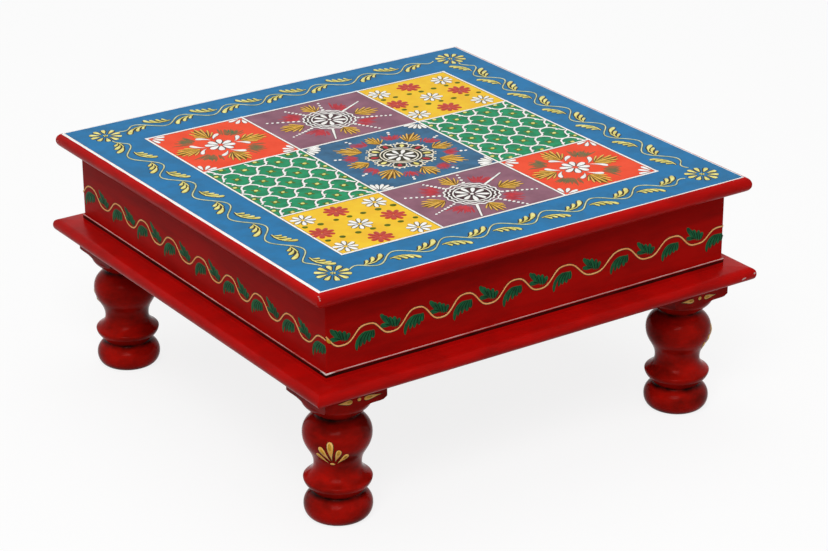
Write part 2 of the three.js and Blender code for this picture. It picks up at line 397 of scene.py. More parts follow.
def make_board():
    """The top board: a half-round edge run round a square, painted but for the underside in the box."""
    section = nose_section(APRON_IN, BOARD_HALF, board_low.z, board_high.z)[:-1]
    corner_radius = 1.6 * MM
    vertices, count = [], 0
    for half, height in section:
        ring = []
        for quarter in range(4):
            path = side_path(half, corner_radius - (BOARD_HALF - half) * 0.3)
            ring += [turn((x, y, height), quarter) for x, y in path[:-1]]
        count = len(ring)
        vertices += ring
    faces = []
    for j in range(len(section) - 1):
        for i in range(count):
            n = (i + 1) % count
            faces.append((j * count + i, j * count + n, (j + 1) * count + n, (j + 1) * count + i))
    last = (len(section) - 1) * count
    faces.append(tuple(last + i for i in range(count)))
    faces.append(tuple(reversed(range(count))))
    add_piece("painted_top_board", vertices, faces, "edge_red", ["top_board"], "bare_wood", [len(faces) - 1])


def make_frames():
    """Apron boards and base rails, side by side round the square."""
    apron = [
        (APRON_IN, apron_low.z), (APRON_OUT, apron_low.z),
        (APRON_OUT, apron_high.z), (APRON_IN, apron_high.z),
    ]
    rub = 0.3 * MM
    rail = nose_section(RAIL_IN, RAIL_OUT, rail_low.z, LEDGE_TOP)[:-1] + [
        (FILLET_OUT, LEDGE_TOP), (FILLET_OUT, FILLET_TOP - rub), (FILLET_OUT - rub, FILLET_TOP),
        (APRON_OUT + 0.05 * MM, FILLET_TOP), (APRON_OUT + 0.05 * MM, rail_high.z), (RAIL_IN, rail_high.z),
    ]
    for quarter, side in enumerate(SIDES):
        mitred_side(f"painted_apron_{side}", apron, APRON_OUT, 0.7 * MM, quarter,
                    "apron_red", [f"apron_{side}"], APRON_IN)
        base = mitred_side(f"painted_base_rail_{side}", rail, RAIL_OUT, 1.0 * MM, quarter,
                           "edge_red", [f"base_rail_{side}"], RAIL_IN)
        cut(base, screw_holes(quarter))


# Turned legs: radius and height of each form, with how far a curve keeps its direction
FULL, EVEN, TIGHT = 0.7, 0.45, 0.15
FOOT_BASE = 14 * MM
LEG_FORMS = [
    (19.4 * MM, 7.2 * MM, None, None),
    (14.2 * MM, 8.6 * MM, FULL, TIGHT),
    (19.35 * MM, 8.1 * MM, TIGHT, EVEN),
    (13.4 * MM, 8.6 * MM, TIGHT, FULL),
    (19.5 * MM, 18.7 * MM, EVEN, EVEN),
    (12.2 * MM, 11.9 * MM, FULL, TIGHT),
    (HEAD_HALF, 9.2 * MM, TIGHT, EVEN),
]
# Under the head the face steps up a little, and its four tips are turned off by hand
HEAD_STEP = 1.0 * MM
HEAD_TIPS = (1.4 * MM, 0.4 * MM, 2.4 * MM, 2.4 * MM)
LEG_SIDES = 96
CURVE_STEPS = 14


def leg_profile():
    """Radius and height of the turned stretch, from the edge of the foot up to the head."""
    radius, rise = LEG_FORMS[0][:2]
    points = []
    for step in range(CURVE_STEPS + 1):
        angle = -QUARTER + QUARTER * step / CURVE_STEPS
        points.append((FOOT_BASE + (radius - FOOT_BASE) * math.cos(angle), rise + rise * math.sin(angle)))
    height = rise
    for next_radius, rise, leave, arrive in LEG_FORMS[1:]:
        heights = (height, height + leave * rise, height + (1 - arrive) * rise, height + rise)
        radii = (radius, radius, next_radius, next_radius)
        for step in range(1, CURVE_STEPS + 1):
            t = step / CURVE_STEPS
            weights = ((1 - t) ** 3, 3 * t * (1 - t) ** 2, 3 * t * t * (1 - t), t ** 3)
            points.append((
                sum(w * r for w, r in zip(weights, radii)),
                sum(w * h for w, h in zip(weights, heights)),
            ))
        radius, height = next_radius, height + rise
    return points


PROFILE = leg_profile()


def leg_radius(height):
    """Radius of the turned stretch at a height."""
    for (r0, z0), (r1, z1) in zip(PROFILE, PROFILE[1:]):
        if z0 <= height <= z1 and z1 > z0:
            return r0 + (r1 - r0) * (height - z0) / (z1 - z0)
    return PROFILE[-1][0]


def make_leg(corner, quarter):
    """A leg turned from a square blank: the head keeps a flat underside with its tips turned off."""
    middle = turn((LEG_AXIS, -LEG_AXIS, 0), quarter)
    corner_reach = HEAD_HALF * math.sqrt(2) + 0.5 * MM
    collar = PROFILE[-1][1]
    head_steps = 12
    vertices = []
    rows = []
    for radius, height in PROFILE:
        rows.append([(radius, height)] * LEG_SIDES)
    angles = [2 * math.pi * i / LEG_SIDES for i in range(LEG_SIDES)]
    flats = [HEAD_HALF / max(abs(math.cos(a)), abs(math.sin(a))) for a in angles]
    for step in range(1, head_steps + 1):
        row = []
        for angle, flat in zip(angles, flats):
            radius = HEAD_HALF + (flat - HEAD_HALF) * step / head_steps
            share = (radius - HEAD_HALF) / (corner_reach - HEAD_HALF)
            lip = HEAD_STEP * math.sin(QUARTER * min(share / 0.3, 1))
            tip = HEAD_TIPS[int(angle // QUARTER)] * max(0, (share - 0.66) / 0.34) ** 2
            row.append((radius, collar + lip + tip))
        rows.append(row)
    rows.append([(flat, LEG_TOP) for flat in flats])
    for row in rows:
        for angle, (radius, height) in zip(angles, row):
            vertices.append(middle + Vector((radius * math.cos(angle), radius * math.sin(angle), height)))
    faces = []
    for j in range(len(rows) - 1):
        for i in range(LEG_SIDES):
            n = (i + 1) % LEG_SIDES
            a, b = j * LEG_SIDES, (j + 1) * LEG_SIDES
            faces.append((a + i, a + n, b + n, b + i))
    last = (len(rows) - 1) * LEG_SIDES
    faces.append(tuple(last + i for i in range(LEG_SIDES)))
    faces.append(tuple(reversed(range(LEG_SIDES))))
    add_piece(f"painted_leg_{corner}", vertices, faces, "leg_red", [f"leg_{corner}"])


# Ornament, drawn in millimetres on the painted surfaces

def wobble(value, share=0.06):
    """A length or angle as a steady hand would repeat it."""
    return value * (1 + hand.uniform(-share, share))


def polar(x, y, angle, reach):
    return x + reach * math.cos(angle), y + reach * math.sin(angle)


def bent(angle, bend, length, t):
    """How far a curled stroke has got at share t of its length."""
    if abs(bend) < 1e-6:
        return (length * t * math.cos(angle), length * t * math.sin(angle))
    radius = length / bend
    return (
        radius * (math.sin(angle + bend * t) - math.sin(angle)),
        -radius * (math.cos(angle + bend * t) - math.cos(angle)),
    )


class Paint:
    """Strokes of one paint on a surface, which turns two lengths and a lift into a point.

    A flat dark umber copy spreads round the strokes where a width for it is given: partly the dark outline of
    cone-drawn paint, partly painted shadow round the raised strokes.
    """

    DOME = [(-1, 0), (-0.72, 0.7), (0, 1), (0.72, 0.7), (1, 0)]
    FLAT = [(-1, 0), (-0.97, 0.95), (0, 1), (0.97, 0.95), (1, 0)]
    SINK = 0.04

    def __init__(self, surface, darkening=0.0, section=DOME):
        self.surface = surface
        self.section = section
        self.spread = darkening
        self.darkening = Paint(surface, section=Paint.FLAT) if darkening else None
        self.vertices = []
        self.faces = []

    def ribbon(self, points, half_widths, height):
        """A domed stroke along points, as wide at each as half_widths says."""
        # Painted shadow and dark outline: a flat dark copy under the stroke, wider by the spread.
        if self.darkening:
            self.darkening.ribbon(points, [half + self.spread for half in half_widths], 0.07)
        start, across = len(self.vertices), len(self.section)
        widest = max(half_widths)
        for i, (point, half) in enumerate(zip(points, half_widths)):
            before, after = points[max(i - 1, 0)], points[min(i + 1, len(points) - 1)]
            along = Vector(after) - Vector(before)
            along = along.normalized() if along.length > 0 else Vector((1, 0))
            side = Vector((-along.y, along.x))
            rise = height * (0.35 + 0.65 * half / widest)
            for offset, lift in self.section:
                place = Vector(point) + side * offset * max(half, 0.02)
                self.vertices.append(self.surface(place.x, place.y, lift * (rise + self.SINK) - self.SINK))
        for i in range(len(points) - 1):
            for j in range(across):
                k = (j + 1) % across
                a, b = start + i * across, start + (i + 1) * across
                self.faces.append((a + k, a + j, b + j, b + k))
        last = start + (len(points) - 1) * across
        self.faces.append(tuple(start + j for j in range(across)))
        self.faces.append(tuple(last + j for j in reversed(range(across))))

    def petal(self, x, y, angle, length, width, height=0.4, root=1.0, tip=0.5, bend=0.0, steps=9):
        """A stroke from (x, y) towards angle. root and tip shape its two ends, bend curls it."""
        angle, length, width = angle + hand.uniform(-0.04, 0.04), wobble(length), wobble(width)
        peak = root / (root + tip)
        top = peak ** root * (1 - peak) ** tip
        points, halves = [], []
        for i in range(steps + 1):
            t = (1 - math.cos(math.pi * i / steps)) / 2
            points.append(Vector((x, y)) + Vector(bent(angle, bend, length, t)))
            halves.append(width / 2 * (t ** root * (1 - t) ** tip) / top)
        self.ribbon(points, halves, height)

    def drop(self, x, y, angle, length, width, bend=0.0, height=0.4):
        """A thin tail that swells to a round head."""
        self.petal(x, y, angle, length, width, height, root=1.5, tip=0.42, bend=bend)

    def dot(self, x, y, radius, height=0.4):
        radius = wobble(radius, 0.1)
        self.petal(x - radius, y, 0, 2 * radius, 2 * radius, height, root=0.5, tip=0.5, steps=8)

    def finish(self, name, slot, look=None):
        if self.vertices:
            add_piece(name, self.vertices, self.faces, slot, look=look)
        # The dark copy is finished in umber: painted shadow and outline.
        if self.darkening:
            self.darkening.finish(f"{name}_glaze", "relief_umber")


# Layout of the top, measured like the real one
LINES_X = (-108.6, -42, 42.6, 109.4)
LINES_Y = (-109.4, -44.8, 39, 107.5)
BLUE_HALF = 144.3
GROUND_LIFT = 0.12
LINE_WIDTH = 1.5
RIM_WIDTHS = {"front": 0.9, "right": 1.0, "back": 1.2, "left": 1.8}
GROUNDS = [
    ["yellow", "mauve", "orange"],
    ["green", "blue", "green"],
    ["orange", "mauve", "yellow"],
]


def top_surface(x, y, lift):
    return Vector((x * MM, y * MM, TOP + (GROUND_LIFT + lift) * MM))


def band_surface(quarter):
    """The top along one side: u runs along the side, v is the distance from the middle."""
    return lambda u, v, lift: turn((u * MM, -v * MM, TOP + (GROUND_LIFT + lift) * MM), quarter)


def rim_surface(quarter):
    """The same places, let down on to the round of the board's nose."""
    nose = (TOP - board_low.z) / 2

    def place(u, v, lift):
        past = max(0, v * MM - BOARD_HALF + nose)
        drop = nose - math.sqrt(nose * nose - past * past)
        return turn((u * MM, -v * MM, TOP - drop + lift * MM), quarter)
    return place


def apron_surface(quarter):
    """An apron's face: u runs along the side, v is the height above the floor."""
    return lambda u, v, lift: turn((u * MM, -APRON_OUT - lift * MM, v * MM), quarter)


def fillet_surface(quarter):
    """The fillet's face under the apron: u runs along the side, v is the height above the floor."""
    return lambda u, v, lift: turn((u * MM, -FILLET_OUT - lift * MM, v * MM), quarter)


def head_surface(quarter, side):
    """The outer face of a leg's head at one end of a side: u runs along the face, v is the height."""
    return lambda u, v, lift: turn((side * LEG_AXIS + u * MM, -LEG_AXIS - HEAD_HALF - lift * MM, v * MM), quarter)


def leg_surface(quarter):
    """The outward diagonal of a leg: u runs round it, v is the height."""
    def place(u, v, lift):
        radius = leg_radius(v * MM)
        angle = -QUARTER / 2 + u * MM / radius
        reach = radius + lift * MM
        return turn((LEG_AXIS + reach * math.cos(angle), -LEG_AXIS + reach * math.sin(angle), v * MM), quarter)
    return place


def plate(name, outer, slot, inner=None, look=None):
    """A flat coat of ground paint: a rectangle, or a rectangular ring round an inner one."""
    rings = [outer, inner] if inner else [outer]
    vertices, faces = [], []
    for lift in (-GROUND_LIFT - Paint.SINK, 0):
        for x0, x1, y0, y1 in rings:
            vertices += [top_surface(x, y, lift) for x, y in ((x0, y0), (x1, y0), (x1, y1), (x0, y1))]
    high = 4 * len(rings)
    for i in range(4):
        n = (i + 1) % 4
        faces.append((i, n, high + n, high + i))
        if inner:
            faces.append((4 + n, 4 + i, high + 4 + i, high + 4 + n))
            faces.append((high + i, high + n, high + 4 + n, high + 4 + i))
            faces.append((n, i, 4 + i, 4 + n))
    if not inner:
        faces += [(4, 5, 6, 7), (3, 2, 1, 0)]
    add_piece(name, vertices, faces, slot, look=look)


def make_grounds():
    """The blue border, the nine tiles, the white lines that part them and the white rim."""
    patch = (LINES_X[0], LINES_X[-1], LINES_Y[0], LINES_Y[-1])
    plate("ground_border", (-BLUE_HALF, BLUE_HALF, -BLUE_HALF, BLUE_HALF), "ground_blue", patch)
    for j, row in enumerate(GROUNDS):
        for i, colour in enumerate(row):
            tile = (LINES_X[i], LINES_X[i + 1], LINES_Y[j], LINES_Y[j + 1])
            plate(f"ground_{colour}_{i}_{j}", tile, f"ground_{colour}",
                  look="centre_blue" if colour == "blue" else None)
    lines = Paint(top_surface, darkening=0.2)
    for x in LINES_X:
        drawn_line(lines, (x, LINES_Y[0] - LINE_WIDTH / 2), (x, LINES_Y[-1] + LINE_WIDTH / 2))
    for y in LINES_Y:
        drawn_line(lines, (LINES_X[0] - LINE_WIDTH / 2, y), (LINES_X[-1] + LINE_WIDTH / 2, y))
    lines.finish("tile_lines", "relief_white")
    steps = 40
    for quarter, side in enumerate(SIDES):
        width = RIM_WIDTHS[side]
        place = BLUE_HALF + width / 2
        rim = Paint(rim_surface(quarter))
        edge = [(-place + 2 * place * i / steps, place) for i in range(steps + 1)]
        rim.ribbon(edge, [wobble(width / 2, 0.12) for _ in edge], 0.1)
        rim.finish(f"rim_line_{side}", "relief_white")


def drawn_line(paint, start, end, steps=40):
    """A white line drawn along a straightedge, as even as a hand keeps it."""
    start, end = Vector(start), Vector(end)
    points = [start.lerp(end, i / steps) for i in range(steps + 1)]
    paint.ribbon(points, [wobble(LINE_WIDTH / 2, 0.1) for _ in points], 0.3)


def wave(crests, middle, swing, start, end, steps=24, fullness=0.0, drops={}):
    """Points of a wavy line: a swing above the middle at each crest, a swing below between two.

    drops says by how much a crest lies lower than the others.
    """
    places = [2 * crests[0] - crests[1], *crests, 2 * crests[-1] - crests[-2]]
    points = []
    for a, b in zip(places, places[1:]):
        for step in range(steps):
            u, phase = a + (b - a) * step / steps, 2 * math.pi * step / steps
            if start <= u <= end:
                level = (math.cos(phase) - fullness * math.cos(3 * phase)) / (1 - fullness)
                lower = drops.get(a if 2 * step < steps else b, 0) * (1 + math.cos(phase)) / 2
                points.append(Vector((u, middle + swing * level - lower)))
    return points


# Border: where the groups of curled strokes stand along each side, and which way they point
CURLS = {
    "front": (-98, -64, -30, 4, 37, 71, 105),
    "right": (-80, -44, -10, 26, 60, 92),
    "back": (-97, -62, -25, 8, 40, 73, 106),
    "left": (-103, -62, -25, 14, 54, 93),
}
CURLS_POINT_OUT = {"front": -1, "right": 1, "back": -1, "left": 1}
VINE_MIDDLE = 127
VINE_SWING = 5.6
VINE_REACH = 116.5
FAN_REACH = 113.5
CORNER_FLOWER = 127


def make_border():
    """Gold vine with curled strokes in its open side and feather fans in the other."""
    for quarter, side in enumerate(SIDES):
        places, out = CURLS[side], CURLS_POINT_OUT[side]
        gold = Paint(band_surface(quarter), darkening=0.75)
        line = Paint(band_surface(quarter), darkening=0.3)
        crests = [u - 2.5 for u in places]
        vine = [
            Vector((point.x, VINE_MIDDLE + (point.y - VINE_MIDDLE) * end_hook(abs(point.x))))
            for point in wave(crests, VINE_MIDDLE, -out * VINE_SWING, -VINE_REACH, VINE_REACH)
        ]
        line.ribbon(vine, [wobble(0.45, 0.15) for _ in vine], 0.35)
        line.finish(f"border_line_{side}", "relief_gold", look="pale_vine")
        for u in places:
            curls(gold, u, VINE_MIDDLE, out)
        ends = [2 * places[0] - places[1], *places, 2 * places[-1] - places[-2]]
        for a, b in zip(ends, ends[1:]):
            middle = (a + b) / 2
            if abs(middle) < FAN_REACH:
                feather_fan(gold, middle, VINE_MIDDLE, -out)
        gold.finish(f"border_vine_{side}", "relief_gold")
    flowers = Paint(top_surface, darkening=0.7)
    for sx in (-1, 1):
        for sy in (-1, 1):
            x, y = sx * CORNER_FLOWER + 0.8, sy * CORNER_FLOWER - 0.9
            flower(flowers, x, y, 10, 3.4, 6.6, 3, root=1.2, tip=0.3)
            flower(flowers, x, y, 5, 0.3, 1.3, 0.8)
    flowers.finish("corner_flowers", "relief_gold")


def end_hook(reach):
    """Share of the vine's swing near a corner, where it flattens and turns back."""
    return 1 - 1.4 * min(max((reach - 106) / 11, 0), 1)


def curls(paint, u, v, out):
    """Three nested commas that grow along the vine."""
    for start, reach, width in ((-8.6, 6.6, 2), (-5.6, 9.4, 2.4), (-2, 12.2, 2.9)):
        paint.drop(u + start, v - out * 0.9, out * math.radians(16), reach, width, bend=out * 0.95, height=0.6)
    stem = [(u - 8.6, v - out * 1.3), (u - 4.5, v - out * 1.3), (u - 0.4, v - out * 0.9)]
    paint.ribbon(stem, [0.3, 0.45, 0.3], 0.3)


def feather_fan(paint, u, v, out):
    """Four lobes that hang from a short stem, each longer than the one before."""
    u, v = u - 1.6, v + out * 1.1
    stem = [(u - 7.8, v + out * 0.6), (u - 4, v + out * 0.1), (u, v + out * 0.6), (u + 4.5, v + out * 3)]
    paint.ribbon(stem, [0.25, 0.5, 0.6, 0.4], 0.3)
    for start, rise, reach, width in ((-6, 0.5, 5, 1.5), (-3, 0.4, 6.2, 1.8), (0.2, 0.9, 7, 2), (3.2, 1.8, 7.8, 2.3)):
        paint.drop(u + start, v + out * rise, out * math.radians(42), reach, width, bend=out * 0.75, height=0.6)


def flower(paint, x, y, count, inner, length, width, phase=0.0, **form):
    for n in range(count):
        angle = phase + 2 * math.pi * n / count
        px, py = polar(x, y, angle, inner)
        paint.petal(px, py, angle, length, width, **form)


def acanthus(ground, strokes, x, y, angle, length):
    """A pointed leaf: seven pale strokes that fan from its stem over a darker ground."""
    ground.petal(x, y, angle, length * 0.9, length * 0.6, 0.08, root=0.5, tip=0.8)
    strokes.petal(x, y, angle, length, length * 0.085, root=0.9, tip=0.7)
    for spread, share in ((0.28, 0.9), (0.57, 0.77), (0.92, 0.6)):
        for side in (-1, 1):
            strokes.petal(x, y, angle + side * spread, length * share, length * 0.074, root=1.6, tip=0.42,
                          bend=-side * spread * 0.35)


def brushed_leaf(paint, x, y, angle, length, width, strokes=6):
    """A loose leaf of dry brush marks in three lobes, with the ground showing between them."""
    for spread in (-0.42, 0, 0.42):
        for n in range(strokes):
            fray = 0.44 * (n / (strokes - 1) - 0.5) + hand.uniform(-0.04, 0.04)
            px, py = polar(x, y, angle + QUARTER, (fray + spread * 0.4) * width)
            px, py = polar(px, py, angle, hand.uniform(-0.14, 0.14) * length)
            paint.petal(px, py, angle + spread * 0.7 + fray, length * hand.uniform(0.6, 1), width * 0.15, 0.05,
                        root=0.45, tip=0.5)


def corner_fan(paint, corner, inward, count, length, width, opening=72):
    """White petals that fan in from a tile's corner."""
    for n in range(count):
        spread = (n / (count - 1) - 0.5) * math.radians(opening)
        px, py = polar(*corner, inward + spread, 1.8)
        paint.petal(px, py, inward + spread, length, width, root=1.1, tip=0.4)


def ring(paint, x, y, radius, width, lobes=0, depth=0.0, height=0.35):
    """A ring, scalloped where it has lobes."""
    count = max(48, lobes * 8)
    points = []
    for i in range(count + 1):
        angle = 2 * math.pi * i / count
        points.append(Vector(polar(x, y, angle, radius + depth * math.cos(lobes * angle))))
    paint.ribbon(points, [width / 2] * len(points), height)


def beads(paint, x, y, radius, count, size):
    for n in range(count):
        paint.dot(*polar(x, y, 2 * math.pi * n / count, radius), size)


def dotted_ray(paint, x, y, angle, start, end, count):
    for n in range(count):
        reach = start + (end - start) * n / (count - 1)
        paint.dot(*polar(x, y, angle, reach), 1.1 - 0.25 * n / (count - 1))


def make_tiles():
    white = Paint(top_surface, darkening=0.4)
    plain = Paint(top_surface, darkening=0.25)
    ochre = Paint(top_surface, darkening=0.22)
    leaf, thin, dark = (Paint(top_surface) for _ in range(3))
    crimson, brick, green, olive, yellow = (Paint(top_surface) for _ in range(5))
    for j, row in enumerate(GROUNDS):
        for i, colour in enumerate(row):
            tile = (LINES_X[i], LINES_X[i + 1], LINES_Y[j], LINES_Y[j + 1])
            if colour == "yellow":
                yellow_tile(tile, white, brick, olive)
            elif colour == "orange":
                orange_tile(tile, white, plain, leaf, ochre, thin, green)
            elif colour == "mauve":
                mauve_tile(tile, dark, white, plain, leaf, ochre, crimson)
            elif colour == "green":
                green_tile(tile, plain, yellow, olive)
            else:
                centre_tile(tile, white, plain, leaf, ochre, crimson)
    white.finish("tile_flowers", "relief_white")
    plain.finish("tile_white_lines", "relief_white")
    ochre.finish("tile_leaves", "relief_ochre", look="leaf_stroke")
    leaf.finish("tile_leaf_grounds", "relief_ochre", look="leaf_ground")
    thin.finish("tile_thin_green", "relief_olive", look="thin_green")
    dark.finish("medallion_grounds", "relief_umber", look="dark_mauve")
    crimson.finish("tile_brushed_leaves", "relief_crimson")
    brick.finish("tile_brick_flowers", "relief_brick")
    green.finish("tile_green_leaves", "relief_green", look="soft_green")
    olive.finish("tile_olive_dots", "relief_olive")
    yellow.finish("tile_yellow_dots", "relief_gold", look="lemon")


def centre_of(tile):
    x0, x1, y0, y1 = tile
    return (x0 + x1) / 2, (y0 + y1) / 2


def corners_of(tile, margin):
    """Each corner of a tile, a margin in, with the direction to the middle."""
    x0, x1, y0, y1 = tile
    for x, sx in ((x0 + margin, 1), (x1 - margin, -1)):
        for y, sy in ((y0 + margin, 1), (y1 - margin, -1)):
            yield (x, y), math.atan2(sy, sx)


def yellow_tile(tile, white, brick, olive):
    """White and brick flowers by turns, with two rows of olive dots."""
    x, y = centre_of(tile)
    for i in (-1, 0, 1):
        for j in (-1, 0, 1):
            px, py = x - 1.5 + i * 23.7, y - 1.3 + j * 22.4
            if (i + j) % 2:
                flower(brick, px - 0.9, py + 0.6, 9, 0.4, 7.2, 3.2, root=0.6, tip=0.3)
            else:
                flower(white, px + hand.uniform(-0.3, 0.8), py, 8, 1.2, 6.2, 2.7, math.radians(22.5),
                       root=0.9, tip=0.35)
    for j in (-0.5, 0.5):
        for n in range(-3, 4):
            px, py = x + n * 9.5 + hand.uniform(-0.8, 0.8), y + j * 22.3 + hand.uniform(-0.5, 0.5)
            olive.dot(px, py, 1.85, 0.2)


def orange_tile(tile, white, plain, leaf, ochre, thin, green):
    """White flower, ochre leaves held by white commas, brushed green leaves between."""
    x, y = centre_of(tile)
    x -= 1.7
    flower(white, x, y, 8, 1.6, 7.6, 4.1, math.radians(22.5), root=1.0, tip=0.4)
    for n in range(4):
        axis = n * QUARTER
        px, py = polar(x, y, axis, 14)
        acanthus(leaf, ochre, px, py, axis, 17.5)
        for side in (-1, 1):
            px, py = polar(x, y, axis + side * 0.1, 10.2)
            plain.drop(px, py, axis + side * 0.42, wobble(9.8, 0.08), 2.9, bend=side * 0.85, height=0.6)
        diagonal = axis + QUARTER / 2
        px, py = polar(x, y, diagonal, 17.5)
        brushed_leaf(thin, px, py, diagonal, 10.5, 10.5)
        px, py = polar(x, y, diagonal - 0.06, 19.5)
        brushed_leaf(green, px, py, diagonal, 7.5, 6, strokes=5)
    for corner, inward in corners_of(tile, 1.6):
        corner_fan(plain, corner, inward, 3, 7.4, 2.7)


def mauve_tile(tile, dark, white, plain, leaf, ochre, crimson):
    """White flower in lace rings on a dark ground, with ochre and crimson leaves and white rays."""
    x, y = centre_of(tile)
    dark.petal(x - 16.5, y, 0, 33, 33, 0.05, root=0.5, tip=0.5, steps=16)
    flower(white, x, y, 9, 2.2, 7.6, 3, math.radians(10), root=0.9, tip=0.35)
    white.dot(x, y, 1.2)
    ring(plain, x, y, 10.9, 1)
    ring(plain, x, y, 13.3, 1, lobes=18, depth=0.45)
    ring(plain, x, y, 15.9, 1.1, lobes=18, depth=0.5)
    for n in range(4):
        axis = n * QUARTER
        along_x = n % 2 == 0
        px, py = polar(x, y, axis, 18.7 if along_x else 16.2)
        acanthus(leaf, ochre, px, py, axis, 16.8 if along_x else 14.4)
        diagonal = axis + math.radians(42 if along_x else 48)
        px, py = polar(x, y, diagonal, 19)
        brushed_leaf(crimson, px, py, diagonal, 11.5, 10)
    for degrees, start, end, dots in (
        (28.5, 16.5, 37, 0), (71, 18, 30, 4), (119, 18, 31, 6), (156, 19, 38.5, 7),
        (202, 19, 37, 7), (244, 17, 34, 0), (299, 18, 34.5, 7), (337, 17.8, 38, 8),
    ):
        angle = math.radians(degrees)
        if dots:
            dotted_ray(plain, x, y, angle, start, end, dots)
        else:
            points = [Vector(polar(x, y, angle, start + (end - start) * k / 6)) for k in range(7)]
            plain.ribbon(points, [wobble(0.95 - 0.06 * k, 0.12) for k in range(7)], 0.4)


def green_tile(tile, white, yellow, olive):
    """Rows of round arches that touch, with small cusps between them and a dot ringed in olive in each cell; the olive
    is partly painted shadow.
    """
    x, y = centre_of(tile)
    x0, x1, y0, y1 = tile
    half_x, half_y = 11.5, 10.6
    columns, rows = 4, 5
    for i in range(-columns, columns + 1):
        for j in range(-rows, rows + 1):
            px, py = x + i * half_x, y + j * half_y
            px, py = min(max(px, x0 + 2.6), x1 - 2.6), min(max(py, y0 + 2.4), y1 - 2.4)
            near = abs(px - x - i * half_x) < 5 and abs(py - y - j * half_y) < 5
            # Olive star and disc under each yellow dot: partly brushed olive paint, partly painted shadow round the
            # raised dot.
            if (i + j) % 2 == 0 and near:
                for n in range(4):
                    angle = QUARTER / 2 + n * QUARTER
                    olive.petal(*polar(px, py, angle, 0.6), angle, 2.6, 1.9, 0.05, root=0.7, tip=0.7)
                olive.dot(px, py, 2, 0.07)
                yellow.dot(px, py, 1.2)
    steps = 10
    for j in range(-rows, rows):
        level = y + (j + 0.5) * half_y - 1.2
        points = []
        for n in range(-columns, columns + 1):
            way = -1 if (n + j) % 2 else 1
            reach, rise = (6.0, 6.5) if way > 0 else (5.0, 4.1)
            middle, arch = x + n * half_x + hand.uniform(-0.25, 0.25), wobble(rise, 0.04)
            for k in range(steps + 1):
                lean = -QUARTER + math.pi * k / steps
                place = Vector((middle + reach * math.sin(lean), level + way * arch * math.cos(lean)))
                if x0 + 0.6 < place.x < x1 - 0.6 and y0 + 0.6 < place.y < y1 - 0.6:
                    points.append(place)
                elif points:
                    lattice_line(white, points)
                    points = []
            cusp = x + (n + 0.5) * half_x
            if x0 + 2 < cusp < x1 - 2 and y0 + 1.5 < level < y1 - 1.5:
                white.petal(cusp - 1.7, level, hand.uniform(-0.3, 0.3), 3.4, 1.5, 0.3, root=0.7, tip=0.7)
        lattice_line(white, points)


def lattice_line(paint, points):
    if len(points) > 2:
        paint.ribbon(points, [wobble(0.7, 0.12) for _ in points], 0.32)


def centre_tile(tile, white, plain, leaf, ochre, crimson):
    """White flower in black and white rings with ten lobes, leaves all round."""
    x, y = centre_of(tile)
    x += 1.3
    dark = Paint(top_surface)
    dark.petal(x - 15, y, 0, 30, 30, 0.06, root=0.5, tip=0.5, steps=16)
    flower(white, x, y, 8, 2, 6.9, 2.9, root=0.9, tip=0.35)
    white.dot(x, y, 1.3)
    lace = Paint(top_surface, darkening=0.3)
    ring(lace, x, y, 10.2, 0.9)
    ring(lace, x, y, 12.3, 0.9)
    lobes = 10
    drops = (Paint(top_surface), Paint(top_surface))
    for n in range(lobes):
        angle = 2 * math.pi * (n + 0.5) / lobes
        cx, cy = polar(x, y, angle, 16)
        dark.dot(cx, cy, 4.1, 0.08)
        arc = [Vector(polar(cx, cy, angle + math.radians(a), 4.1)) for a in range(-120, 121, 15)]
        lace.ribbon(arc, [0.45] * len(arc), 0.4)
        px, py = polar(cx, cy, angle, 2.4)
        drops[n % 2].petal(px, py, angle + math.pi, 5, 3, 0.4, root=0.5, tip=0.9)
        for degrees in (-66, -33, 0, 33, 66):
            lace.dot(*polar(cx, cy, angle + math.radians(degrees), 5.4), 0.7)
    lace.finish("centre_lace", "relief_white", look="cream")
    drops[0].finish("centre_crimson_drops", "relief_crimson")
    drops[1].finish("centre_yellow_drops", "relief_gold")
    dark.finish("centre_dark_ground", "relief_umber")
    for n in range(8):
        axis = n * QUARTER / 2
        length = 17 if n % 2 else 14
        px, py = polar(x, y, axis, 23.5 if n % 2 else 22.5)
        acanthus(leaf, ochre, px, py, axis, wobble(length, 0.08))
        between = axis + QUARTER / 4
        px, py = polar(x, y, between, 26.5)
        brushed_leaf(crimson, px, py, between, 9.5, 7, strokes=5)
        for reach in (36.5, 39.3):
            plain.dot(*polar(x, y, between, reach), 1)
    for corner, inward in corners_of(tile, 1.6):
        corner_fan(white, corner, inward, 5, 8.5, 2.3, opening=84)


# Aprons: where the peach line is highest along each side
CRESTS = {
    "front": (-111.2, -79, -47, -13.2, 21.4, 62.2, 99.4, 135),
    "right": (-125, -91, -57, -24, 10, 44, 78, 112),
    "back": (-121, -87, -52, -18, 16, 51, 86, 120),
    "left": (-127, -92.5, -61.5, -29, 6.3, 38.1, 68.6, 101.4, 133.5),
}
# Middle height of that line and its swing
WAVES = {"front": (115.6, 4.95), "right": (114.5, 4.7), "back": (114.5, 4.7), "left": (113.3, 4.45)}
LOW_CRESTS = {"front": {-111.2: 1.5, 99.4: 1, 135: 3.1}, "left": {133.5: 1.1}}


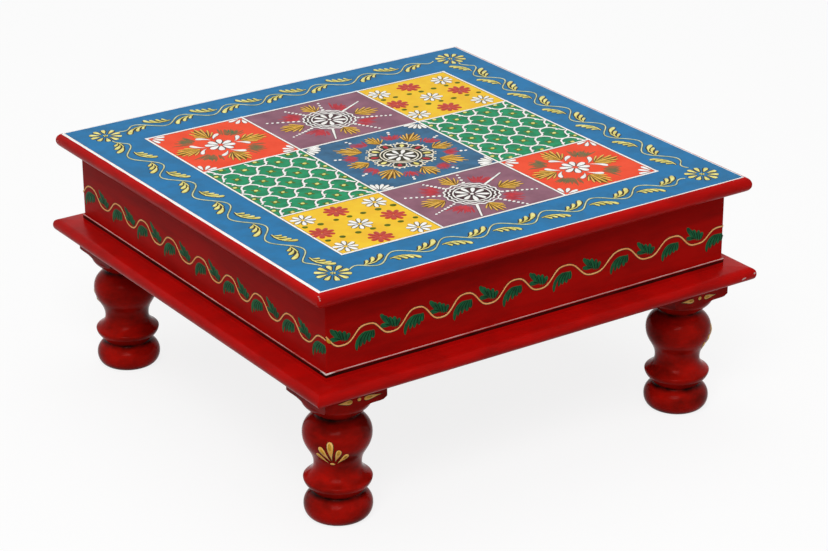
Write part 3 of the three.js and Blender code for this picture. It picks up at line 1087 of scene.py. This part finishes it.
def make_aprons():
    """Peach wave and dark green leaves on each apron; under its foot a thin pale line on the fillet's arris, partly
    painted highlight, and a band of painted shade below it.
    """
    reach = APRON_OUT / MM
    for quarter, side in enumerate(SIDES):
        middle, swing = WAVES[side]
        peach = Paint(apron_surface(quarter), darkening=0.25)
        green = Paint(apron_surface(quarter))
        veins = Paint(apron_surface(quarter))
        crests = CRESTS[side]
        drops = LOW_CRESTS.get(side, {})
        points = wave(crests, middle, swing, -reach, reach, steps=60, fullness=0.08, drops=drops)
        peach.ribbon(points, [wobble(0.5, 0.1) for _ in points], 0.3)
        for u in crests:
            if abs(u) < reach:
                hanging_leaf(green, veins, max(min(u, reach - 5), 9 - reach), middle - drops.get(u, 0))
        ends = [2 * crests[0] - crests[1], *crests, 2 * crests[-1] - crests[-2]]
        for a, b in zip(ends, ends[1:]):
            if abs(a + b) / 2 < reach - 6:
                standing_leaf(green, veins, (a + b) / 2, middle - 0.8)
        peach.finish(f"apron_wave_{side}", "relief_peach")
        green.finish(f"apron_leaves_{side}", "relief_green")
        veins.finish(f"apron_leaf_gaps_{side}", "relief_green", look="deep_green")
        edge, crown = FILLET_OUT / MM, FILLET_TOP / MM
        steps = 60
        places = [-edge + 2 * edge * i / steps for i in range(steps + 1)]
        # A thin pale line on the fillet's arris: partly rubbed paint, partly painted highlight where the arris catches
        # the light.
        line = Paint(fillet_surface(quarter))
        arris = [Vector((u, crown - 0.3)) for u in places]
        line.ribbon(arris, [wobble(0.3, 0.3) for _ in arris], 0.12)
        line.finish(f"fillet_rubbed_edge_{side}", "relief_white", look="worn_paint_and_highlight")
        # A band of painted shade in dark red on the fillet's face, under its arris.
        painted_shade = Paint(fillet_surface(quarter), section=Paint.FLAT)
        band = [Vector((u, crown - 1.8)) for u in places]
        painted_shade.ribbon(band, [wobble(0.9, 0.08) for _ in band], 0.05)
        painted_shade.finish(f"fillet_glaze_{side}", "relief_umber", look="red_painted_shade")


def nose_surface(quarter, half, low, high):
    """A half-round edge: u runs along the side, v is the way round it from the top."""
    nose = (high - low) / 2

    def place(u, v, lift):
        angle = QUARTER - v * MM / nose
        reach = half - nose + (nose + lift * MM) * math.cos(angle)
        return turn((u * MM, -reach, low + nose + (nose + lift * MM) * math.sin(angle)), quarter)
    return place


def make_wear():
    """Chips that show the white undercoat at the corners, on the top board's near corner partly painted highlight; the
    whiter ends of the fillet's pale line at the near corner, painted highlight and wear; the blob where two waves meet;
    a chip on the apron.
    """
    base_nose, board_nose = (RAIL_OUT, rail_low.z, LEDGE_TOP), (BOARD_HALF, board_low.z, TOP)
    for number, (quarter, nose, chips) in enumerate((
        (0, base_nose, ((140.8, 7.2, 3.4, 1), (149.8, 5.6, 1.6, 1), (62, 8.6, 1.8, 0.4))),
        # On the top board's near corner the chips are partly painted highlight on its mitre.
        (0, board_nose, ((-148, 3.2, 0.8, 0.9), (-148, 4.2, 0.8, 1.1), (-148, 5.2, 0.8, 0.8))),
        (3, board_nose, ((-146, 7, 1.6, 0.5),)),
        (1, base_nose, ((-149.5, 6, 1.6, 0.8), (30, 7.5, 1.6, 0.5))),
    )):
        paint = Paint(nose_surface(quarter, *nose), section=Paint.FLAT)
        for u, v, length, width in chips:
            paint.petal(u, v, hand.uniform(-0.5, 0.5), length, width, 0.05, root=0.4, tip=0.6)
        paint.finish(f"chips_{number}", "relief_white", look="worn_paint_and_highlight")
    # Whiter ends of the fillet's pale line at the near corner: painted highlight, partly worn paint.
    edge, crown = FILLET_OUT / MM, FILLET_TOP / MM
    for quarter, corner in ((0, -edge), (3, edge)):
        inward = math.copysign(1, -corner)
        chip = Paint(fillet_surface(quarter), section=Paint.FLAT)
        chip.ribbon([(corner, crown - 0.55), (corner + inward * 2.4, crown - 0.45), (corner + inward * 7, crown - 0.3)],
                    [0.52, 0.42, 0.15], 0.14)
        chip.finish(f"fillet_chip_{SIDES[quarter]}", "relief_white")
    blob = Paint(apron_surface(0))
    blob.petal(-APRON_OUT / MM + 0.4, 116.8, math.radians(-48), 3.8, 2, 0.4, root=0.6, tip=0.5)
    blob.finish("wave_blob", "relief_ochre")
    speck = Paint(apron_surface(0), section=Paint.FLAT)
    speck.petal(-APRON_OUT / MM + 0.6, 137.4, 0.2, 1.5, 0.8, 0.06, root=0.5, tip=0.5)
    speck.finish("apron_chip", "relief_white", look="worn_paint_and_highlight")


def standing_leaf(paint, veins, u, v):
    """Six soft strokes that rise from the trough of the wave, the tallest at its left."""
    for start, rise, degrees, length in (
        (-1.5, -0.6, 160, 6.4), (-2.3, -0.2, 119, 9.2), (-1.2, -1.2, 112, 8.4),
        (0.3, -2, 103, 7.6), (1.6, -2.4, 88, 6.6), (2.4, -2.2, 60, 5),
    ):
        angle = math.radians(degrees)
        paint.petal(u + start, v + rise, angle, length, 3, 0.12, root=0.8, tip=0.45, bend=0.2)
        veins.petal(u + start + 0.8, v + rise, angle - 0.1, length * 0.75, 0.8, 0.16, root=0.7, tip=0.6, bend=0.2)


def hanging_leaf(paint, veins, u, v):
    """A claw: one long stroke that curls over and down, with shorter ones inside it."""
    for start, degrees, length, bend in (
        (-0.3, 190, 13.6, 1.6), (1, 198, 10.4, 1.3), (2.1, 212, 8.6, 1.05), (3.2, 230, 7, 0.8), (4.1, 250, 5.4, 0.5),
    ):
        angle = math.radians(degrees)
        paint.petal(u + start, v + 0.9, angle, length, 2.9, 0.12, root=0.7, tip=0.5, bend=bend)
        veins.petal(u + start, v + 0.5, angle + 0.14, length * 0.8, 0.75, 0.16, root=0.6, tip=0.7, bend=bend)


# Drops on a leg's head at each end: left tail, dot, right tail and its length, and the height of them all
HEAD_DROPS = {-1: (-12, 1.8, 16.4, 11.2, 77.4), 1: (-15.4, -1.4, 10.8, 8.8, 76.7)}


def make_leg_ornament():
    """An ochre fan of five drops on the outward side of each leg, two drops on the heads in front and behind."""
    for quarter, corner in enumerate(CORNERS):
        fan = Paint(leg_surface(quarter), darkening=0.3)
        cores = Paint(leg_surface(quarter))
        foot = 37.9
        for u, v, degrees, length, width in (
            (0.4, 2.4, 92, 14, 3.9), (-0.6, 2.2, 118, 10.6, 3.3), (2, 2, 69, 10, 3.3),
            (-1.8, 0.6, 136, 9.4, 2.7), (3, 0.6, 46, 9.6, 2.8),
        ):
            cored_drop(fan, cores, u, foot + v, math.radians(degrees), length, width)
        fan.petal(-1, foot, 0, 2.8, 1.5, root=0.5, tip=0.5)
        fan.finish(f"leg_fan_{corner}", "relief_peach", look="relief_amber")
        cores.finish(f"leg_fan_cores_{corner}", "relief_ochre")
    for quarter in (0, 2):
        for end in (-1, 1):
            place = f"{SIDES[quarter]}_{'left' if end < 0 else 'right'}"
            drops = Paint(head_surface(quarter, end), darkening=0.3)
            cores = Paint(head_surface(quarter, end))
            left, middle, right, reach, level = HEAD_DROPS[end]
            cored_drop(drops, cores, left, level + 0.8, math.radians(-5), 10, 2.8)
            drops.dot(middle, level + 0.3, 1.1)
            cored_drop(drops, cores, right, level - 0.2, math.radians(180), reach, 2.8)
            drops.finish(f"head_drops_{place}", "relief_peach", look="relief_amber")
            cores.finish(f"head_drop_cores_{place}", "relief_ochre")


def cored_drop(paint, cores, u, v, angle, length, width):
    """A drop of pale gold with a darker core in its head."""
    paint.drop(u, v, angle, length, width)
    start = polar(u, v, angle, length * 0.5)
    cores.petal(*start, angle, length * 0.42, width * 0.6, 0.52, root=0.7, tip=0.5)


# Studio

def make_studio():
    scene = bpy.context.scene
    scene.view_settings.view_transform = "Standard"
    camera = bpy.data.cameras.new("photo_camera")
    camera.lens = 112.474
    camera.sensor_width = 36
    body = bpy.data.objects.new("photo_camera", camera)
    body.location = (-0.79796, -1.19018, 0.69134)
    body.rotation_euler = [math.radians(a) for a in (66.5837, 0.1712, -34.3334)]
    scene.collection.objects.link(body)
    scene.camera = body

    bpy.ops.mesh.primitive_plane_add(size=12, location=(0, 0, 0))
    floor = bpy.context.object
    floor.name = "floor"
    floor.data.materials.append(paper())

    world = bpy.data.worlds.new("studio")
    scene.world = world
    world.use_nodes = True
    nodes, links = world.node_tree.nodes, world.node_tree.links
    background = nodes["Background"]
    background.inputs["Color"].default_value = (1, 1, 1, 1)
    strength = nodes.new("ShaderNodeMapRange")
    strength.inputs["To Min"].default_value = 0.36
    strength.inputs["To Max"].default_value = 1.0
    links.new(seen_directly(nodes, links), strength.inputs["Value"])
    links.new(strength.outputs["Result"], background.inputs["Strength"])

    lamp("key", (-1.3, -1.5, 2.3), 1.3, 46)
    lamp("top", (0.3, 0.6, 2.4), 1.6, 15)


def seen_directly(nodes, links):
    """One for rays from the camera and for reflections, so that gloss shows the same white."""
    path = nodes.new("ShaderNodeLightPath")
    first = nodes.new("ShaderNodeMath")
    first.operation = "MAXIMUM"
    links.new(path.outputs["Is Camera Ray"], first.inputs[0])
    links.new(path.outputs["Is Glossy Ray"], first.inputs[1])
    second = nodes.new("ShaderNodeMath")
    second.operation = "MAXIMUM"
    links.new(first.outputs["Value"], second.inputs[0])
    links.new(path.outputs["Is Transmission Ray"], second.inputs[1])
    return second.outputs["Value"]


def paper():
    """White paper that keeps a faint shadow."""
    material = bpy.data.materials.new("paper")
    material.use_nodes = True
    nodes, links = material.node_tree.nodes, material.node_tree.links
    matt = nodes["Principled BSDF"]
    tone = nodes.new("ShaderNodeMapRange")
    tone.inputs["To Min"].default_value = 0.42
    tone.inputs["To Max"].default_value = 0.95
    links.new(seen_directly(nodes, links), tone.inputs["Value"])
    links.new(tone.outputs["Result"], matt.inputs["Base Color"])
    matt.inputs["Roughness"].default_value = 0.9
    matt.inputs["Specular IOR Level"].default_value = 0
    white = nodes.new("ShaderNodeEmission")
    share = nodes.new("ShaderNodeMath")
    share.operation = "MULTIPLY"
    share.inputs[1].default_value = 0.84
    links.new(seen_directly(nodes, links), share.inputs[0])
    mix = nodes.new("ShaderNodeMixShader")
    links.new(share.outputs["Value"], mix.inputs["Fac"])
    links.new(matt.outputs["BSDF"], mix.inputs[1])
    links.new(white.outputs["Emission"], mix.inputs[2])
    links.new(mix.outputs["Shader"], nodes["Material Output"].inputs["Surface"])
    return material


def lamp(name, place, size, power):
    light = bpy.data.lights.new(name, "AREA")
    light.shape = "SQUARE"
    light.size = size
    light.energy = power
    holder = bpy.data.objects.new(name, light)
    holder.location = place
    holder.rotation_euler = (-Vector(place)).to_track_quat("-Z", "Y").to_euler()
    bpy.context.scene.collection.objects.link(holder)


def finish_cad_nodes():
    """Glue blocks and screws keep their own meshes and get real finishes."""
    for name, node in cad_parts.items():
        slot = "bare_wood" if name.startswith("corner_block") else "screw_steel"
        node.data.materials.clear()
        node.data.materials.append(MATERIALS[slot])


make_board()
make_frames()
for number, corner_name in enumerate(CORNERS):
    make_leg(corner_name, number)
make_grounds()
make_border()
make_tiles()
make_aprons()
make_leg_ornament()
make_wear()
make_base_screws()
finish_cad_nodes()
make_studio()

bpy.context.view_layer.update()
